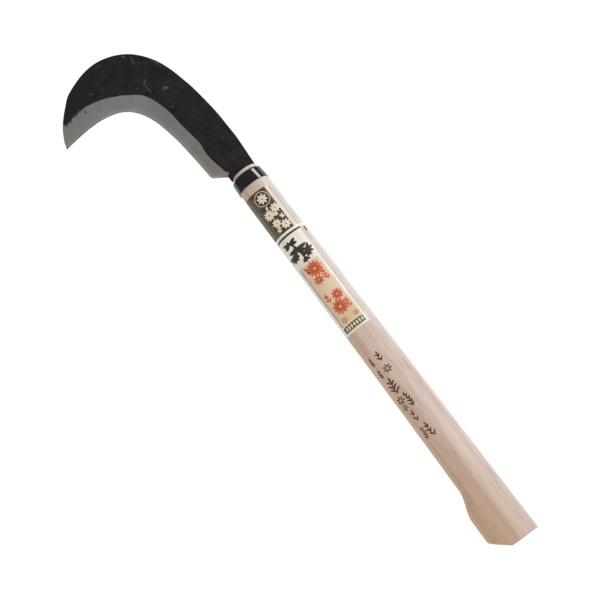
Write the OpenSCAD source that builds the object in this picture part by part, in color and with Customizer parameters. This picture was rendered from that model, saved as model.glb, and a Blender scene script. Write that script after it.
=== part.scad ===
// Hand sickle of the Japanese climbing pattern: a laminated hooked blade on a short oval hardwood handle.
// Millimetres.  The sickle lies flat: +X runs from the butt to the blade, +Y is the cutting side, +Z is up.
// The modules work in the handle's own frame (x = 0 at the butt, y = z = 0 on the handle's axis), and
// place() then moves each piece so that the origin is at the bottom centre of the whole sickle.

/* [Handle] */
// Length of the wooden handle, butt face to nose face
handle_len = 455; // [400:1:520]
// Distance from the axis to the cutting-side surface, at the ferrule
grip_hook = 17.1; // [16:0.1:17.2]
// Distance from the axis to the spine-side surface, at the ferrule
grip_spine = 17; // [16:0.1:17.2]
// Half depth of the oval grip at the ferrule
grip_depth = 13.1; // [13:0.1:13.2]
// Growth of the cutting side and the spine side from the ferrule to the butt
grip_growth = [3.5, 2.2]; // [0:0.1:4]
// Growth of the half depth from the ferrule to the butt
depth_growth = 0.8; // [0:0.1:2]
// How far the butt flares towards the cutting side
flare = 7.4; // [4:0.1:12]
// Where the flare is still full, and where it has run out
flare_span = [39, 69]; // [20:1:100]
// Length of the slanted cut on the flared corner, along the handle
corner_cut = 14.2; // [8:0.1:20]
// Length of the same cut across the handle
corner_rise = 17.8; // [8:0.1:22]

/* [Ferrule] */
// Length of the ferrule
ferrule_len = 15; // [12:0.1:24]
// Length of its straight part, below the rounded shoulder
ferrule_straight = 12.2; // [8:0.1:18]
// Outer half width at the lower rim
ferrule_half = 18; // [16:0.1:20]
// Wall thickness
ferrule_wall = 1; // [0.6:0.1:1.2]
// Bare wooden nose that stands out of the ferrule
nose_len = 4.1; // [2:0.1:10]

/* [Blade] */
// Thickness of the blade body at its neck
blade_thick = 5; // [3.5:0.1:6]
// Thickness left at the very edge
edge_thick = 0.3; // [0.2:0.05:0.6]
// Thickness of the steel's tongue inside the iron
tongue_thick = 0.6; // [0.4:0.1:0.8]
// Part of the bevel's width on which the steel shows
steel_share = 0.4; // [0.35:0.01:0.5]

/* [Tang] */
// Length of the tang inside the handle
tang_len = 110; // [80:1:140]
// Width of the tang at the nose and at its tip
tang_width = [19, 12]; // [8:0.5:22]
// Clearance between the tang and its slot
tang_gap = 0.2; // [0.05:0.05:0.5]
// Diameter of the nail through the tang
nail_d = 4; // [3:0.5:5]
// Distance of the nail from the nose face
nail_back = 62; // [45:1:75]

/* [Labels] */
// Where the lower label starts
label_start = 250; // [200:0.5:280]
// Length of the lower label
label_lower_len = 119.5; // [80:0.5:140]
// Length of the upper label
label_upper_len = 56; // [30:0.5:58]
// Thickness of the label paper
paper = 0.25; // [0.2:0.05:0.4]

/* [Hidden] */
SIDES = 48;
OVAL_POWER = 2.15;
HOOK_CURVE = 1.6;
STEPS = 6;

// The blade as matching pairs of points, heel to tip: the cutting edge, the spine, the bevel's width
// measured from the edge, and the thickness of the spine.
EDGE = [[470.8, 30.2], [495, 32], [530, 35.5], [560, 42], [580, 52], [591.6, 65], [597.3, 83], [598.4, 100],
    [597.5, 115], [596.2, 124.5], [595.4, 130.5]];
SPINE = [[458, -14.3], [490, -16], [534, -14.6], [575, -9], [612, 1.5], [639.3, 20.4], [653.3, 45.5],
    [655.3, 70], [645.4, 98.9], [624.4, 120.7], [604, 131.6]];
BEVEL = [16.6, 14, 15, 17.4, 20.4, 20, 22.2, 25.8, 26, 24, 7.6];
SPINE_THICK = [5, 5, 5, 4.7, 4.3, 4, 3.5, 3.1, 2.7, 2.2, 1.6];
TIP = [594.8, 134.2, 0];
NECK_HALF = 15.6;
NECK_CORNER = [461.8, 15.8];
BUTT_ROUND = 1;
RINGS = (len(EDGE) - 1) * STEPS;

ferrule_x = handle_len - nose_len - ferrule_len;
shoulder_x = ferrule_x + ferrule_straight;
ferrule_top = ferrule_x + ferrule_len;
ferrule_depth = 0.778 * ferrule_half;
nose_half = [14, 10.8];
rim_round = 0.8;
label_seam = label_start + label_lower_len;
label_end = label_seam + label_upper_len;
nail_x = handle_len - nail_back;

spine_outline = [for (i = [0 : RINGS]) spline(SPINE, i / STEPS)];
butt_spine = grip_spine + grip_growth[1] * (1 - BUTT_ROUND / ferrule_x);
butt_depth = grip_depth + depth_growth * (1 - BUTT_ROUND / ferrule_x);
x_max = max([for (p = spine_outline) p.x]);
origin = [x_max / 2, (TIP.y - butt_spine) / 2, -max(butt_depth, ferrule_depth)];

// ---- curves and skins -------------------------------------------------------------------------

function mix(a, b, t) = a + (b - a) * t;
function ease(t) = t < 0 ? 0 : t > 1 ? 1 : t * t * (3 - 2 * t);
function clip(i, n) = min(max(i, 0), n);

// Catmull-Rom curve through points or numbers; t counts the points.
function spline(p, t) =
    let (n = len(p) - 1, i = min(floor(t), n - 1), u = t - i,
        a = p[clip(i - 1, n)], b = p[i], c = p[i + 1], d = p[clip(i + 2, n)])
    0.5 * ((2 * b) + (c - a) * u + (2 * a - 5 * b + 4 * c - d) * u * u + (3 * b - a - 3 * c + d) * u * u * u);

function power(v, k) = sign(v) * pow(abs(v), k);

// One oval ring square to the handle; half = [half width, half depth], mid = shift of its centre in y.
function oval(x, half, mid) =
    [for (k = [0 : SIDES - 1])
        let (a = 360 * k / SIDES)
        [x, mid + half.x * power(cos(a), 2 / OVAL_POWER), half.y * power(sin(a), 2 / OVAL_POWER)]];

// Side faces between rings i and i + 1.  flip turns them over for a ring that runs the other way.
function band(i, next, n, flip) =
    [for (k = [0 : n - 1], half = [0, 1])
        let (a = i * n + k, b = i * n + (k + 1) % n, c = next * n + (k + 1) % n, d = next * n + k,
            f = half == 0 ? [a, c, b] : [a, d, c])
        flip ? [f[2], f[1], f[0]] : f];

// Closed solid through rings of equal length, with flat ends.
module skin(rings) {
    n = len(rings[0]);
    last = len(rings) - 1;
    sides = [for (i = [0 : last - 1]) each band(i, i + 1, n, false)];
    ends = [[for (k = [0 : n - 1]) k], [for (k = [n - 1 : -1 : 0]) last * n + k]];
    polyhedron(points = [for (r = rings) each r], faces = concat(sides, ends));
}

// Closed tube: the rings run up the inside and back down the outside.
module tube_skin(rings) {
    n = len(rings[0]);
    count = len(rings);
    sides = [for (i = [0 : count - 1]) each band(i, (i + 1) % count, n, true)];
    polyhedron(points = [for (r = rings) each r], faces = sides);
}

module place() translate(-origin) children();

// ---- handle -----------------------------------------------------------------------------------

// 1 at the butt and 0 at the ferrule; the cutting side's curve is hollow, the others are straight.
function to_butt(x) = max(0, 1 - x / ferrule_x);
function hook_side(x) = grip_hook + grip_growth[0] * pow(to_butt(x), HOOK_CURVE)
    + flare * (1 - ease((x - flare_span[0]) / (flare_span[1] - flare_span[0])));
function spine_side(x) = grip_spine + grip_growth[1] * to_butt(x);
function depth_at(x) = grip_depth + depth_growth * to_butt(x);

// The grip's surface at x, moved out by grow.
function grip_ring(x, grow = 0) =
    let (h = hook_side(x), s = spine_side(x))
    oval(x, [(h + s) / 2 + grow, depth_at(x) + grow], (h - s) / 2);

function spread(a, b, n) = [for (i = [0 : n]) mix(a, b, i / n)];

LOWER_X = spread(label_start, label_seam, 5);
UPPER_X = spread(label_seam, label_end, 3);
GRIP_X = concat([BUTT_ROUND, 12, 24], spread(flare_span[0], flare_span[1], 9), [110, 150, 200], LOWER_X,
    [UPPER_X[1], UPPER_X[2], label_end, ferrule_x]);

// Half width and half depth of the ferrule's outside: nearly straight, then a quarter-round shoulder.
TOP_HALF = nose_half + [ferrule_wall, ferrule_wall];
SHOULDER_HALF = [ferrule_half - 0.7, ferrule_depth - 0.6];
FERRULE_MID = 0.4;
NOSE_MID = -0.3;
FERRULE_OUT = concat(
    [[ferrule_x, [ferrule_half, ferrule_depth]]],
    [for (a = [0 : 15 : 90])
        [mix(shoulder_x, ferrule_top, sin(a)), mix(SHOULDER_HALF, TOP_HALF, 1 - cos(a))]]);

function seat_ring(p) = oval(p[0], p[1] - [ferrule_wall, ferrule_wall], FERRULE_MID);

module tang_shape(gap) {
    half = tang_width / 2 + [gap, gap];
    linear_extrude(height = blade_thick + 2 * gap, center = true)
        polygon([[handle_len, -half[0]], [handle_len, half[0]],
            [handle_len - tang_len + 6, half[1]], [handle_len - tang_len - gap, half[1] / 3],
            [handle_len - tang_len - gap, -half[1] / 3], [handle_len - tang_len + 6, -half[1]]]);
}

module nail_shape(d, len) {
    translate([nail_x, 0, 0])
        cylinder(h = len, d = d, center = true, $fn = 32);
}

module corner_cutter() {
    cutter = 60;
    slant = atan2(corner_rise, corner_cut);
    translate([corner_cut, hook_side(corner_cut), 0])
        rotate([0, 0, slant])
            translate([-cutter / 2, cutter / 2, 0])
                cube(cutter, center = true);
}

module handle() {
    nose_x = [ferrule_top + 0.4, handle_len - rim_round, handle_len];
    rings = concat(
        [grip_ring(0, -BUTT_ROUND)],
        [for (x = GRIP_X) grip_ring(x)],
        [for (p = FERRULE_OUT) seat_ring(p)],
        [oval(nose_x[0], nose_half, NOSE_MID),
            oval(nose_x[1], nose_half, NOSE_MID),
            oval(nose_x[2], nose_half - [rim_round, rim_round], NOSE_MID)]);
    color("#d3bfab")
        place()
            difference() {
                skin(rings);
                corner_cutter();
                tang_slot();
                nail_shape(nail_d, 4 * grip_depth);
            }
}

// The slot runs out through the nose face.
module tang_slot() {
    tang_shape(tang_gap);
    translate([handle_len, 0, 0])
        cube([2, tang_width[0] + 2 * tang_gap, blade_thick + 2 * tang_gap], center = true);
}

// ---- ferrule ----------------------------------------------------------------------------------

module ferrule() {
    inside = [for (p = FERRULE_OUT) seat_ring(p)];
    outside = [for (i = [len(FERRULE_OUT) - 1 : -1 : 0])
        oval(FERRULE_OUT[i][0], FERRULE_OUT[i][1], FERRULE_MID)];
    color("#17181a")
        place()
            tube_skin(concat(inside, outside));
}

// ---- blade ------------------------------------------------------------------------------------

// Sizes of ring i: where the edge and the spine are, the unit way across, and the widths and
// half thicknesses of the bevel and the steel.
function edge_at(i) = spline(EDGE, i / STEPS);
function across(i) = let (d = spine_outline[i] - edge_at(i)) d / norm(d);
function width_at(i) = norm(spine_outline[i] - edge_at(i));
function bevel_at(i) = min(spline(BEVEL, i / STEPS), width_at(i) - 0.4);
function spine_half(i) = spline(SPINE_THICK, i / STEPS) / 2;
function steel_at(i) = steel_share * bevel_at(i);
function steel_half(i) = mix(edge_thick / 2, spine_half(i), steel_share);
function tongue_at(i) = min(steel_at(i) + 6, mix(steel_at(i), bevel_at(i), 0.7));

// The point of ring i that lies u in from the edge, at height z.
function section_point(i, u, z) = let (p = plan_point(i, u)) [p.x, p.y, z];

function upper_half(i) = [[width_at(i), spine_half(i)], [bevel_at(i), spine_half(i)],
    [steel_at(i), steel_half(i)], [steel_at(i), tongue_thick / 2], [tongue_at(i), tongue_thick / 2]];
function lower_half(half) = [for (k = [len(half) - 1 : -1 : 0]) [half[k].x, -half[k].y]];
function ring_points(i, half) = [for (p = concat(half, lower_half(half))) section_point(i, p.x, p.y)];

// The iron's ring goes round the outside and the slit; the steel's ring goes round the steel.
function body_ring(i) = ring_points(i, upper_half(i));
function steel_ring(i) = ring_points(i, [[0, edge_thick / 2], [steel_at(i), steel_half(i)],
    [steel_at(i), tongue_thick / 2], [tongue_at(i), tongue_thick / 2]]);

// Closed solid from the heel to the tip; cap lists the triangles of the heel face.
module blade_skin(rings, cap, flip) {
    n = len(rings[0]);
    last = len(rings) - 1;
    sides = [for (i = [0 : last - 1]) each band(i, i + 1, n, flip)];
    tip_fan = [for (k = [0 : n - 1])
        let (f = [last * n + k, len(rings) * n, last * n + (k + 1) % n])
        flip ? [f[2], f[1], f[0]] : f];
    heel = [for (f = cap) flip ? [f[2], f[1], f[0]] : f];
    polyhedron(points = concat([for (r = rings) each r], [TIP]), faces = concat(sides, tip_fan, heel));
}

BODY_CAP = [[1, 2, 3], [1, 3, 4], [0, 1, 4], [0, 4, 5], [0, 5, 9], [9, 5, 8], [8, 5, 6], [8, 6, 7]];
STEEL_CAP = [[0, 1, 2], [0, 2, 5], [0, 5, 7], [7, 5, 6], [2, 3, 4], [2, 4, 5]];

// Point of the blade's plan on ring i, u in from the edge.
function plan_point(i, u) = edge_at(i) + across(i) * u;

// Square neck between the tang and the heel.  It laps into the first ring's full thickness.
module neck_shape() {
    lap = [plan_point(1, width_at(1) - 1), plan_point(1, bevel_at(1) + 1)];
    linear_extrude(height = blade_thick, center = true)
        polygon([[handle_len, SPINE[0].y], SPINE[0], lap[0], lap[1], plan_point(0, bevel_at(0)),
            NECK_CORNER, [handle_len, NECK_HALF]]);
}

// Wedge between the neck's corner and the heel: full thickness at the neck, thin at the cutting edge.
module heel_wedge() {
    plan = [NECK_CORNER, plan_point(0, bevel_at(0)), EDGE[0]];
    half = [blade_thick / 2, blade_thick / 2, edge_thick / 2];
    polyhedron(
        points = [for (up = [1, -1], k = [0 : 2]) [plan[k].x, plan[k].y, up * half[k]]],
        faces = [[0, 2, 1], [3, 4, 5], [0, 1, 4, 3], [1, 2, 5, 4], [2, 0, 3, 5]]);
}

module blade_body() {
    color("#2b2b2c")
        place()
            difference() {
                union() {
                    blade_skin([for (i = [0 : RINGS]) body_ring(i)], BODY_CAP, true);
                    neck_shape();
                    heel_wedge();
                    tang_shape(0);
                }
                nail_shape(nail_d + 0.2, 4 * blade_thick);
            }
}

module edge_steel() {
    color("#8d8c88")
        place()
            blade_skin([for (i = [0 : RINGS]) steel_ring(i)], STEEL_CAP, false);
}

// ---- nail and labels --------------------------------------------------------------------------

module tang_nail() {
    color("#77777a")
        place()
            nail_shape(nail_d, 2 * depth_at(nail_x) - 1);
}

module label_sleeve(stations) {
    inside = [for (x = stations) grip_ring(x)];
    outside = [for (i = [len(stations) - 1 : -1 : 0]) grip_ring(stations[i], paper)];
    tube_skin(concat(inside, outside));
}

module label_lower() {
    color("#e4d9b8")
        place()
            label_sleeve(LOWER_X);
}

module label_upper() {
    color("#4d4334")
        place()
            label_sleeve(UPPER_X);
}

blade_body();
edge_steel();
handle();
ferrule();
tang_nail();
label_lower();
label_upper();
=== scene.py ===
"""Looks of the hand sickle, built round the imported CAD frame.

Lengths are in millimetres in the handle's own frame, as in the design: x = 0 at the butt, y = z = 0 on
the handle's axis, +y the cutting side.  row() turns them into metres in the row's frame.
"""

import math

import bpy
import numpy as np
from mathutils import Matrix, Vector, noise
from numpy.linalg import norm


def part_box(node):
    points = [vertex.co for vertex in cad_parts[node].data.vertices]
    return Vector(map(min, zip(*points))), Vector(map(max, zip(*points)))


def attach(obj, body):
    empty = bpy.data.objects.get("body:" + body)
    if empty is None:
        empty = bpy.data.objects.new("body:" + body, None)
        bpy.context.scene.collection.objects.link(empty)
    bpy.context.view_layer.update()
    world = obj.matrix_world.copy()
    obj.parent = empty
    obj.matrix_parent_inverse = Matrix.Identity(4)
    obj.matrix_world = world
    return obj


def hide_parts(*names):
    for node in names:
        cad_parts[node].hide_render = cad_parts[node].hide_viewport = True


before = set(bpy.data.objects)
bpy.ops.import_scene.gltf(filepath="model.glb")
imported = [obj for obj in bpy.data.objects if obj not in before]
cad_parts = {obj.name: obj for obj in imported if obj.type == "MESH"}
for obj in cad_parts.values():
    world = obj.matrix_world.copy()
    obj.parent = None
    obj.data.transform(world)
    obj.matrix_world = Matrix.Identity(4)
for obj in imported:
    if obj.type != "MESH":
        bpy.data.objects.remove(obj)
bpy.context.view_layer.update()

# ---- frame and driving sizes ----

MM = 0.001
HANDLE_LO, HANDLE_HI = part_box("handle")
FERRULE_LO, FERRULE_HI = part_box("ferrule")
NAIL_LO, NAIL_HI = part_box("tang_nail")
AXIS = (NAIL_LO + NAIL_HI) / 2
ORIGIN = np.array([HANDLE_LO.x, AXIS.y, AXIS.z])


def along(x):
    """A row x in metres as a length along the handle in mm."""
    return (x - HANDLE_LO.x) / MM


def row(points):
    """Points in mm in the handle's frame, as metres in the row's frame."""
    return np.asarray(points, float) * MM + ORIGIN


HANDLE_LEN = along(HANDLE_HI.x)
FERRULE_X = along(FERRULE_LO.x)
FERRULE_TOP = along(FERRULE_HI.x)
FERRULE_HALF = (FERRULE_HI.y - FERRULE_LO.y) / 2 / MM
FERRULE_DEPTH = (FERRULE_HI.z - FERRULE_LO.z) / 2 / MM
FERRULE_MID = ((FERRULE_HI.y + FERRULE_LO.y) / 2 - AXIS.y) / MM
LOWER_X = [along(p.x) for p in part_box("label_lower")]
UPPER_X = [along(p.x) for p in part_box("label_upper")]

# The same driving dimensions as the design, in mm.
GRIP_HOOK, GRIP_SPINE, GRIP_DEPTH = 17.1, 17.0, 13.1
GROWTH_HOOK, GROWTH_SPINE, GROWTH_DEPTH = 3.5, 2.2, 0.8
HOOK_CURVE = 1.6
FLARE, FLARE_START, FLARE_END = 7.4, 39.0, 69.0
CORNER_CUT, CORNER_RISE = 14.2, 17.8
OVAL_POWER = 2.15
FERRULE_STRAIGHT, FERRULE_WALL = 12.2, 1.0
NOSE_HALF, NOSE_DEPTH, NOSE_MID = 14.0, 10.8, -0.3
PAPER = 0.25
BLADE_HALF = 2.5

# Plan of the blade, heel to tip, as matching points: cutting edge, grind line and spine; then the half
# thickness at the grind line.
EDGE = [(470.8, 30.2), (495, 32), (511, 33.4), (530, 35.6), (560, 42), (580, 52), (591.6, 65), (597.3, 83),
        (598.4, 100), (597.5, 114), (596.7, 121), (596, 127), (595.4, 131)]
GRIND = [(466.3, 14.6), (492, 19.4), (509.5, 18.3), (531, 21.4), (564, 25.4), (589, 34.6), (603.5, 50.2),
         (614.8, 70.2), (620.2, 89.6), (620.6, 102.5), (618.8, 113.6), (616.2, 123.4), (603, 131.2)]
SPINE = [(461, -14.5), (490, -16), (509, -15.7), (534, -14.6), (575, -9), (612, 1.5), (639.3, 20.4),
         (653.3, 45.5), (655, 70), (645.8, 97.0), (635.6, 109.3), (619.5, 123.3), (604, 131.6)]
FACE_HALF = [2.5, 2.5, 2.5, 2.5, 2.35, 2.15, 2.0, 1.75, 1.55, 1.35, 1.2, 1.0, 0.6]
TIP = (594.8, 134.2)
NECK_CORNER = (461.8, 15.8)
NECK_GRIND = (463.8, 12.4)
NECK_SPINE = (457.4, -14.25)
TANG_LEN, TANG_HALF = 110.0, (9.5, 6.0)


# ---- curves ----

def mix(a, b, t):
    return a + (b - a) * t


def ease(t):
    t = np.clip(t, 0.0, 1.0)
    return t * t * (3 - 2 * t)


def spline(points, t):
    """Catmull-Rom curve through points or numbers at each t, which counts the points."""
    p = np.asarray(points, float)
    t = np.atleast_1d(np.asarray(t, float))
    last = len(p) - 1
    i = np.minimum(np.floor(t).astype(int), last - 1)
    u = (t - i).reshape((-1,) + (1,) * (p.ndim - 1))
    a, b = p[np.maximum(i - 1, 0)], p[i]
    c, d = p[i + 1], p[np.minimum(i + 2, last)]
    square, cube = 2 * a - 5 * b + 4 * c - d, 3 * b - a - 3 * c + d
    return 0.5 * (2 * b + (c - a) * u + square * u**2 + cube * u**3)


def wave(points, size, seed=0.0):
    """Smooth noise from -1 to 1 at points in mm; size is the length of its waves in mm."""
    shift = Vector((seed * 17.3, seed * 5.1, seed * 9.7))
    return np.array([noise.noise(Vector([*p]) / size + shift) for p in np.asarray(points, float)])


# ---- mesh building ----

def make_object(name, points, faces, material_list, face_slots=None, sharp_angle=35.0):
    """An object from points in mm.  face_slots gives each face's place in material_list."""
    mesh = bpy.data.meshes.new(name)
    mesh.from_pydata(row(points).tolist(), [], faces)
    mesh.validate()
    mesh.update()
    for material in material_list:
        mesh.materials.append(material)
    if face_slots is not None:
        mesh.polygons.foreach_set("material_index", np.asarray(face_slots, np.int32))
    mesh.shade_smooth()
    mesh.set_sharp_from_angle(angle=math.radians(sharp_angle))
    piece = bpy.data.objects.new(name, mesh)
    bpy.context.scene.collection.objects.link(piece)
    return piece


def add_vectors(piece, name, values):
    """A vector for each point of the piece, which its material reads by name."""
    layer = piece.data.attributes.new(name, "FLOAT_VECTOR", "POINT")
    layer.data.foreach_set("vector", np.asarray(values, np.float32).ravel())


def ring_faces(rings, count, closed_along=False):
    """Quads between rings of count points each; every ring closes on itself."""
    faces = []
    for i in range(rings if closed_along else rings - 1):
        a, b = i * count, ((i + 1) % rings) * count
        for k in range(count):
            n = (k + 1) % count
            faces.append((a + k, a + n, b + n, b + k))
    return faces


def capped_rings(rings, steps=(0.86, 0.66, 0.44, 0.22)):
    """The rings with smaller copies of the first and last one inside them, and a point at each end."""
    first, last = rings[0], rings[-1]
    start = [mix(first.mean(0), first, s) for s in steps[::-1]]
    end = [mix(last.mean(0), last, s) for s in steps]
    return start + list(rings) + end


def skin(rings):
    """Points and faces of a closed solid through the rings, with a fan at each end."""
    count, size = len(rings), len(rings[0])
    points = np.concatenate([*rings, rings[0].mean(0)[None], rings[-1].mean(0)[None]])
    faces = ring_faces(count, size)
    first_centre, last_centre, base = count * size, count * size + 1, (count - 1) * size
    for k in range(size):
        n = (k + 1) % size
        faces.append((first_centre, n, k))
        faces.append((last_centre, base + k, base + n))
    return points, faces


# ---- the handle's surface ----

def to_butt(x):
    return np.maximum(0, 1 - x / FERRULE_X)


def hook_side(x):
    flare = FLARE * (1 - ease((x - FLARE_START) / (FLARE_END - FLARE_START)))
    return GRIP_HOOK + GROWTH_HOOK * to_butt(x) ** HOOK_CURVE + flare


def spine_side(x):
    return GRIP_SPINE + GROWTH_SPINE * to_butt(x)


def depth_at(x):
    return GRIP_DEPTH + GROWTH_DEPTH * to_butt(x)


def oval(x, half, depth, mid, angles):
    """Ring square to the handle.  Angle 0 is the top, +90 degrees the cutting side."""
    k = 2 / OVAL_POWER
    s, c = np.sin(angles), np.cos(angles)
    y = mid + half * np.sign(s) * np.abs(s) ** k
    z = depth * np.sign(c) * np.abs(c) ** k
    return np.column_stack([np.full_like(y, x), y, z])


def grip_ring(x, angles, grow=0.0):
    hook, spine = hook_side(x), spine_side(x)
    return oval(x, (hook + spine) / 2 + grow, depth_at(x) + grow, (hook - spine) / 2, angles)


def circle(count):
    return np.arange(count) * 2 * math.pi / count


class GripMap:
    """Places flat designs on the grip: v is the arc length round from the top, + to the cutting side."""

    def __init__(self, start, end, step=6.0):
        self.x = np.arange(start, end + step, step)
        self.angles = np.linspace(-math.pi, math.pi, 721)
        self.arc = []
        for x in self.x:
            ring = grip_ring(x, self.angles)
            length = np.concatenate([[0], np.cumsum(norm(np.diff(ring, axis=0), axis=1))])
            self.arc.append(length - np.interp(0, self.angles, length))
        self.arc = np.array(self.arc)

    def angle(self, x, v):
        i = int(np.clip((x - self.x[0]) / (self.x[1] - self.x[0]), 0, len(self.x) - 2))
        t = (x - self.x[i]) / (self.x[i + 1] - self.x[i])
        return np.interp(v, mix(self.arc[i], self.arc[i + 1], t), self.angles)

    def place(self, x, v, lift):
        """Point at (x, v), lift mm off the bare wood along the surface's normal."""
        a = self.angle(x, v)
        before, at, after = grip_ring(x, np.array([a - 0.004, a, a + 0.004]))
        tangent = (after - before) / norm(after - before)
        return at + lift * np.array([0.0, -tangent[2], tangent[1]])


# ---- materials ----

def srgb(r, g, b):
    """A colour given as 0 to 255 screen values, in linear light."""
    parts = [c / 255 for c in (r, g, b)]
    return tuple(c / 12.92 if c <= 0.04045 else ((c + 0.055) / 1.055) ** 2.4 for c in parts) + (1.0,)


class Shader:
    """Short calls that build one material's nodes."""

    def __init__(self, name, **settings):
        self.material = bpy.data.materials.new(name)
        self.material.use_nodes = True
        self.tree = self.material.node_tree
        self.surface = self.tree.nodes["Principled BSDF"]
        for socket, value in settings.items():
            self.surface.inputs[socket.replace("_", " ")].default_value = value
        self.space = self.node("ShaderNodeTexCoord").outputs["Object"]

    def put(self, socket, value):
        if isinstance(value, bpy.types.NodeSocket):
            self.tree.links.new(value, socket)
        else:
            socket.default_value = value

    def node(self, kind, inputs=None, **settings):
        made = self.tree.nodes.new(kind)
        for key, value in settings.items():
            setattr(made, key, value)
        for key, value in (inputs or {}).items():
            self.put(made.inputs[key], value)
        return made

    def scaled(self, vector, scale):
        return self.node("ShaderNodeMapping", {"Vector": vector, "Scale": scale}).outputs["Vector"]

    def attribute(self, name):
        return self.node("ShaderNodeAttribute", attribute_name=name).outputs["Vector"]

    def split(self, vector):
        return self.node("ShaderNodeSeparateXYZ", {0: vector}).outputs

    def noise(self, vector, scale, detail=3.0, rough=0.5, warp=0.0):
        inputs = {"Vector": vector, "Scale": scale, "Detail": detail, "Roughness": rough, "Distortion": warp}
        return self.node("ShaderNodeTexNoise", inputs).outputs["Fac"]

    def math(self, operation, a, b=0.0, clamp=False):
        return self.node("ShaderNodeMath", {0: a, 1: b}, operation=operation, use_clamp=clamp).outputs[0]

    def step(self, value, low, high):
        """0 below low, 1 above high and smooth between; swapped limits turn it over."""
        ends = (0.0, 1.0) if low <= high else (1.0, 0.0)
        inputs = {"Value": value, "From Min": min(low, high), "From Max": max(low, high),
                  "To Min": ends[0], "To Max": ends[1]}
        return self.node("ShaderNodeMapRange", inputs, interpolation_type="SMOOTHSTEP").outputs["Result"]

    def blend(self, share, a, b):
        return self.node("ShaderNodeMix", {"Factor": share, 6: a, 7: b}, data_type="RGBA").outputs[2]

    def range(self, value, low, high):
        """A 0 to 1 value stretched to low .. high."""
        inputs = {"Value": value, "To Min": low, "To Max": high}
        return self.node("ShaderNodeMapRange", inputs).outputs["Result"]

    def bump(self, height, distance, under=None):
        """A relief of the given height in metres; under is a relief below it."""
        inputs = {"Height": height, "Distance": distance}
        if under is not None:
            inputs["Normal"] = under
        return self.node("ShaderNodeBump", inputs).outputs["Normal"]

    def coat(self, weight, roughness, ior=1.5):
        for name, value in (("Weight", weight), ("Roughness", roughness), ("IOR", ior)):
            self.surface.inputs["Coat " + name].default_value = value

    def part(self, share, factor):
        """share times factor, both from 0 to 1."""
        return self.math("MULTIPLY", share, factor)

    def finish(self, color=None, roughness=None, normal=None):
        for name, value in (("Base Color", color), ("Roughness", roughness), ("Normal", normal)):
            if value is not None:
                self.put(self.surface.inputs[name], value)
        return self.material


def wood_material():
    s = Shader("hardwood", Specular_IOR_Level=0.12)
    grain = s.scaled(s.space, (9, 420, 420))
    fine = s.noise(grain, 2.6, detail=5, rough=0.62)
    band = s.noise(s.scaled(s.space, (2.2, 75, 75)), 1.6, detail=3, warp=0.4)
    fleck = s.noise(s.scaled(s.space, (55, 1300, 1300)), 1.0, detail=2)
    fleck_mask = s.part(s.step(fleck, 0.60, 0.70), s.step(band, 0.35, 0.6))
    # Painted light and shade across the grip: pale is the spine side, painted paler and greyer for the key
    # light and its sheen; brown is the cutting side, painted browner for shade. The bands still vary both at
    # random.
    pale = s.blend(s.step(band, 0.3, 0.7), srgb(227, 211, 203), srgb(216, 196, 185))
    brown = s.blend(s.step(band, 0.3, 0.7), srgb(212, 186, 166), srgb(200, 171, 150))
    place = s.split(s.space)
    butt = s.step(place["X"], float(ORIGIN[0]) + 0.16, float(ORIGIN[0]) + 0.01)
    # The mask runs from the painted-lit spine side to the painted-shaded cutting side; near the butt its
    # line moves over towards the cutting side.
    shade_split_y = s.math("ADD", place["Y"], s.part(butt, 0.008))
    across = s.step(shade_split_y, float(ORIGIN[1]) - 0.014, float(ORIGIN[1]) + 0.014)
    base = s.blend(across, pale, brown)
    vein = s.noise(s.scaled(s.space, (20, 380, 380)), 1.0, detail=4, rough=0.65)
    base = s.blend(s.part(s.step(vein, 0.52, 0.66), 0.28), base, srgb(172, 142, 122))
    streaked = s.blend(s.part(s.step(fine, 0.46, 0.70), 0.5), base, srgb(180, 150, 130))
    # A warmer, darker tone on the cutting side near the butt, patchy with the bands.
    side = s.step(place["Y"], float(ORIGIN[1]) - 0.004, float(ORIGIN[1]) + 0.022)
    hook_butt_warmth = s.part(s.part(side, s.range(butt, 0.12, 1.0)), s.range(band, 0.5, 1.0))
    warmed = s.blend(s.part(hook_butt_warmth, 0.75), streaked, srgb(188, 154, 122))
    flecked = s.blend(s.part(fleck_mask, 0.45), warmed, srgb(133, 103, 84))
    relief = s.bump(s.math("SUBTRACT", fine, s.part(fleck_mask, 0.5)), 0.00006)
    return s.finish(flecked, s.range(fine, 0.58, 0.74), relief)


def end_grain_material():
    s = Shader("hardwood_end_grain", Specular_IOR_Level=0.25)
    inputs = {"Vector": s.space, "Scale": 90.0, "Distortion": 2.2, "Detail": 2.0, "Detail Scale": 0.7}
    rings = s.node("ShaderNodeTexWave", inputs, wave_type="RINGS", rings_direction="X")
    pores = s.step(s.noise(s.space, 1700.0, detail=2), 0.56, 0.68)
    base = s.blend(rings.outputs["Fac"], srgb(205, 176, 150), srgb(181, 148, 122))
    color = s.blend(s.part(pores, 0.5), base, srgb(132, 100, 80))
    return s.finish(color, 0.75, s.bump(pores, -0.00008))


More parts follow.
